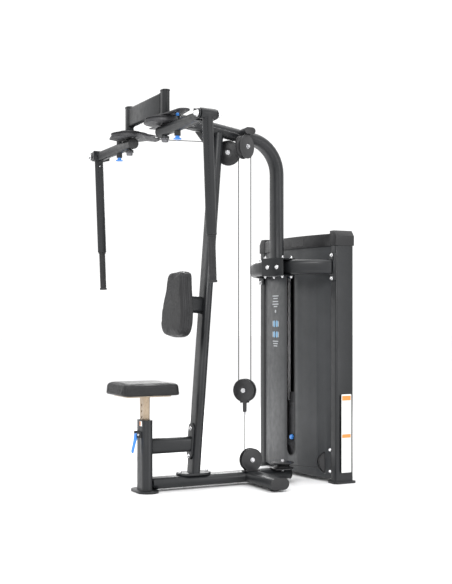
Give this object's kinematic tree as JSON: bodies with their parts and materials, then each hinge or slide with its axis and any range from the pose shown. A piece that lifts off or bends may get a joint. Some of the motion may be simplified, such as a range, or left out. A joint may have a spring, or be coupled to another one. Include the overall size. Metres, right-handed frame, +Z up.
{
  "type": "pec fly machine",
  "caption": "Pin-loaded seated pec fly and rear delt machine with swinging overhead arms, hanging handles, padded seat and back, and an enclosed weight tower.",
  "frame": {"origin": "on the floor under the middle of the machine: midway between the tips of the hinges of the two arms in X, and midway between the seat front and the back of the tower feet in Y", "axes": "+Z up, -Y the way the user faces, +X the user's left, the weight tower at +Y"},
  "size_m": [1.534, 1.338, 2.072],
  "materials": {
    "frame_paint": "satin powder coat",
    "panel_steel": "satin powder coat",
    "black_iron": "painted matt black",
    "black_plastic": "fine texture",
    "blue_plastic": "gloss",
    "bright_steel": "polished",
    "vinyl": "grained vinyl",
    "grip_rubber": "ribbed rubber",
    "cable": "nylon sheath"
  },
  "bodies": {
    "frame": {"seat_post": "frame_paint", "floor_frame": "frame_paint", "seat_bracket": "frame_paint", "column": "frame_paint", "top_beam": "frame_paint", "back_pad": "vinyl", "back_support": "frame_paint", "t_head": "frame_paint", "upright_near": "frame_paint", "upright_far": "frame_paint", "upright_cap_near": "black_plastic", "upright_cap_far": "black_plastic", "guide_rod_near": "bright_steel", "guide_rod_far": "bright_steel", "front_panel": "panel_steel", "rear_panel": "panel_steel", "top_tray": "black_plastic", "tower_base_rail": "frame_paint", "tower_top_rail": "frame_paint", "bow_tube": "frame_paint", "plates_lower": "black_iron", "top_bracket_front": "frame_paint", "top_bracket_back": "frame_paint", "low_bracket": "black_plastic", "flat_bracket": "black_plastic", "tower_low_bracket": "black_plastic", "cable_far_arm": "cable", "cable_near_arm": "cable", "cable_run_front": "cable", "cable_run_back": "cable", "cable_low_run": "cable", "cable_floor": "cable", "cable_tower": "cable", "cable_stack_run": "cable"},
    "seat": {"seat_inner_post": "bright_steel", "seat_pad": "vinyl"},
    "seat_lever": {"seat_lever": "blue_plastic"},
    "weight_stack": {"plates_upper": "black_iron", "head_plate": "black_iron"},
    "selector_pin": {"selector_pin": "blue_plastic"},
    "floating_block": {"floating_block": "black_plastic", "cable_float_wrap": "cable"},
    "floating_wheel": {"floating_wheel": "black_plastic"},
    "top_wheel_front": {"top_wheel_front": "black_plastic"},
    "top_wheel_back": {"top_wheel_back": "black_plastic"},
    "low_wheel": {"low_wheel": "black_plastic"},
    "flat_wheel": {"flat_wheel": "black_plastic"},
    "tower_low_wheel": {"tower_low_wheel": "black_plastic"},
    "tower_top_wheel_near": {"tower_top_wheel_near": "black_plastic"},
    "tower_top_wheel_far": {"tower_top_wheel_far": "black_plastic"},
    "cam_near": {"cam_near": "black_iron"},
    "arm_near": {"arm_near": "frame_paint"},
    "pop_pin_near": {"pop_pin_near": "blue_plastic"},
    "handle_near": {"handle_near": "frame_paint", "grip_near": "grip_rubber"},
    "cam_far": {"cam_far": "black_iron"},
    "arm_far": {"arm_far": "frame_paint"},
    "pop_pin_far": {"pop_pin_far": "blue_plastic"},
    "handle_far": {"handle_far": "frame_paint", "grip_far": "grip_rubber"}
  },
  "joints": [
    {"name": "stack_lift", "type": "slide", "parent": "frame", "child": "weight_stack", "axis": [0, 0, 1], "range_m": [0, 0.128], "deforming": ["cable_stack_run"]},
    {"name": "selector_pull", "type": "slide", "parent": "weight_stack", "child": "selector_pin", "axis": [0, -1, 0], "range_m": [0, 0.06]},
    {"name": "floating_lift", "type": "slide", "parent": "frame", "child": "floating_block", "axis": [0, 0, 1], "range_m": [0, 0.128], "deforming": ["cable_run_front", "cable_run_back", "cable_low_run"]},
    {"name": "floating_spin", "type": "hinge", "parent": "floating_block", "child": "floating_wheel", "pos_m": [0.03, 0.086, 0.518], "axis": [0.5914, -0.8064, 0], "continuous": true},
    {"name": "seat_height", "type": "slide", "parent": "frame", "child": "seat", "axis": [0, 0, 1], "range_m": [-0.096, 0.096]},
    {"name": "seat_lever_pull", "type": "hinge", "parent": "frame", "child": "seat_lever", "pos_m": [0, -0.539, 0.304], "axis": [-1, 0, 0], "range_deg": [0, 15], "stiffness_Nm_per_rad": 2, "springref_deg": -11.46},
    {"name": "cam_near_swing", "type": "hinge", "parent": "frame", "child": "cam_near", "pos_m": [0.245, -0.483, 1.916], "axis": [0, 0, -1], "range_deg": [0, 76]},
    {"name": "arm_near_start", "type": "hinge", "parent": "cam_near", "child": "arm_near", "pos_m": [0.245, -0.483, 1.865], "axis": [0, 0, -1], "range_deg": [-40, 4]},
    {"name": "pop_pin_near_pull", "type": "slide", "parent": "arm_near", "child": "pop_pin_near", "axis": [0, 0, -1], "range_m": [0, 0.012], "stiffness_N_per_m": 900, "springref_m": -0.02},
    {"name": "handle_near_swing", "type": "hinge", "parent": "arm_near", "child": "handle_near", "pos_m": [0.741, -0.483, 1.864], "axis": [0, 1, 0], "range_deg": [-30, 18]},
    {"name": "cam_far_swing", "type": "hinge", "parent": "frame", "child": "cam_far", "pos_m": [-0.245, -0.483, 1.916], "axis": [0, 0, 1], "range_deg": [0, 76]},
    {"name": "arm_far_start", "type": "hinge", "parent": "cam_far", "child": "arm_far", "pos_m": [-0.245, -0.483, 1.865], "axis": [0, 0, 1], "range_deg": [-40, 4]},
    {"name": "pop_pin_far_pull", "type": "slide", "parent": "arm_far", "child": "pop_pin_far", "axis": [0, 0, -1], "range_m": [0, 0.012], "stiffness_N_per_m": 900, "springref_m": -0.02},
    {"name": "handle_far_swing", "type": "hinge", "parent": "arm_far", "child": "handle_far", "pos_m": [-0.741, -0.483, 1.864], "axis": [0, -1, 0], "range_deg": [-30, 18]},
    {"name": "top_wheel_front_spin", "type": "hinge", "parent": "frame", "child": "top_wheel_front", "pos_m": [-0.032, 0.01563, 1.825], "axis": [0.834, -0.5518, 0], "range_deg": [0, 128]},
    {"name": "top_wheel_back_spin", "type": "hinge", "parent": "frame", "child": "top_wheel_back", "pos_m": [0.08583, 0.05607, 1.846], "axis": [0.8954, 0.4453, 0], "range_deg": [0, 128]},
    {"name": "low_wheel_spin", "type": "hinge", "parent": "frame", "child": "low_wheel", "pos_m": [0.03, 0.124, 0.135], "axis": [-1, 0, 0], "range_deg": [0, 194]},
    {"name": "flat_wheel_spin", "type": "hinge", "parent": "frame", "child": "flat_wheel", "pos_m": [0.068, 0.305, 0.097], "axis": [0, 0, 1], "range_deg": [0, 194]},
    {"name": "tower_low_wheel_spin", "type": "hinge", "parent": "frame", "child": "tower_low_wheel", "pos_m": [0.128, 0.579, 0.106], "axis": [-0.9389, 0.3443, 0], "range_deg": [0, 194]},
    {"name": "tower_top_wheel_near_spin", "type": "hinge", "parent": "frame", "child": "tower_top_wheel_near", "pos_m": [0.10378, 0.60742, 1.252], "axis": [-0.1911, 0.9816, 0], "range_deg": [0, 194]},
    {"name": "tower_top_wheel_far_spin", "type": "hinge", "parent": "frame", "child": "tower_top_wheel_far", "pos_m": [-0.1282, 0.56226, 1.252], "axis": [-0.1911, 0.9816, 0], "range_deg": [0, 194]}
  ],
  "couplings": [
    {"joint": "floating_lift", "follows": "stack_lift", "ratio": 1},
    {"joint": "cam_near_swing", "follows": "stack_lift", "rad_per_m": 10.256},
    {"joint": "cam_far_swing", "follows": "stack_lift", "rad_per_m": 10.256},
    {"joint": "top_wheel_front_spin", "follows": "stack_lift", "rad_per_m": 17.241},
    {"joint": "top_wheel_back_spin", "follows": "stack_lift", "rad_per_m": 17.241},
    {"joint": "low_wheel_spin", "follows": "stack_lift", "rad_per_m": 26.316},
    {"joint": "flat_wheel_spin", "follows": "stack_lift", "rad_per_m": 26.316},
    {"joint": "tower_low_wheel_spin", "follows": "stack_lift", "rad_per_m": 26.316},
    {"joint": "tower_top_wheel_near_spin", "follows": "stack_lift", "rad_per_m": 26.316},
    {"joint": "tower_top_wheel_far_spin", "follows": "stack_lift", "rad_per_m": 26.316}
  ]
}
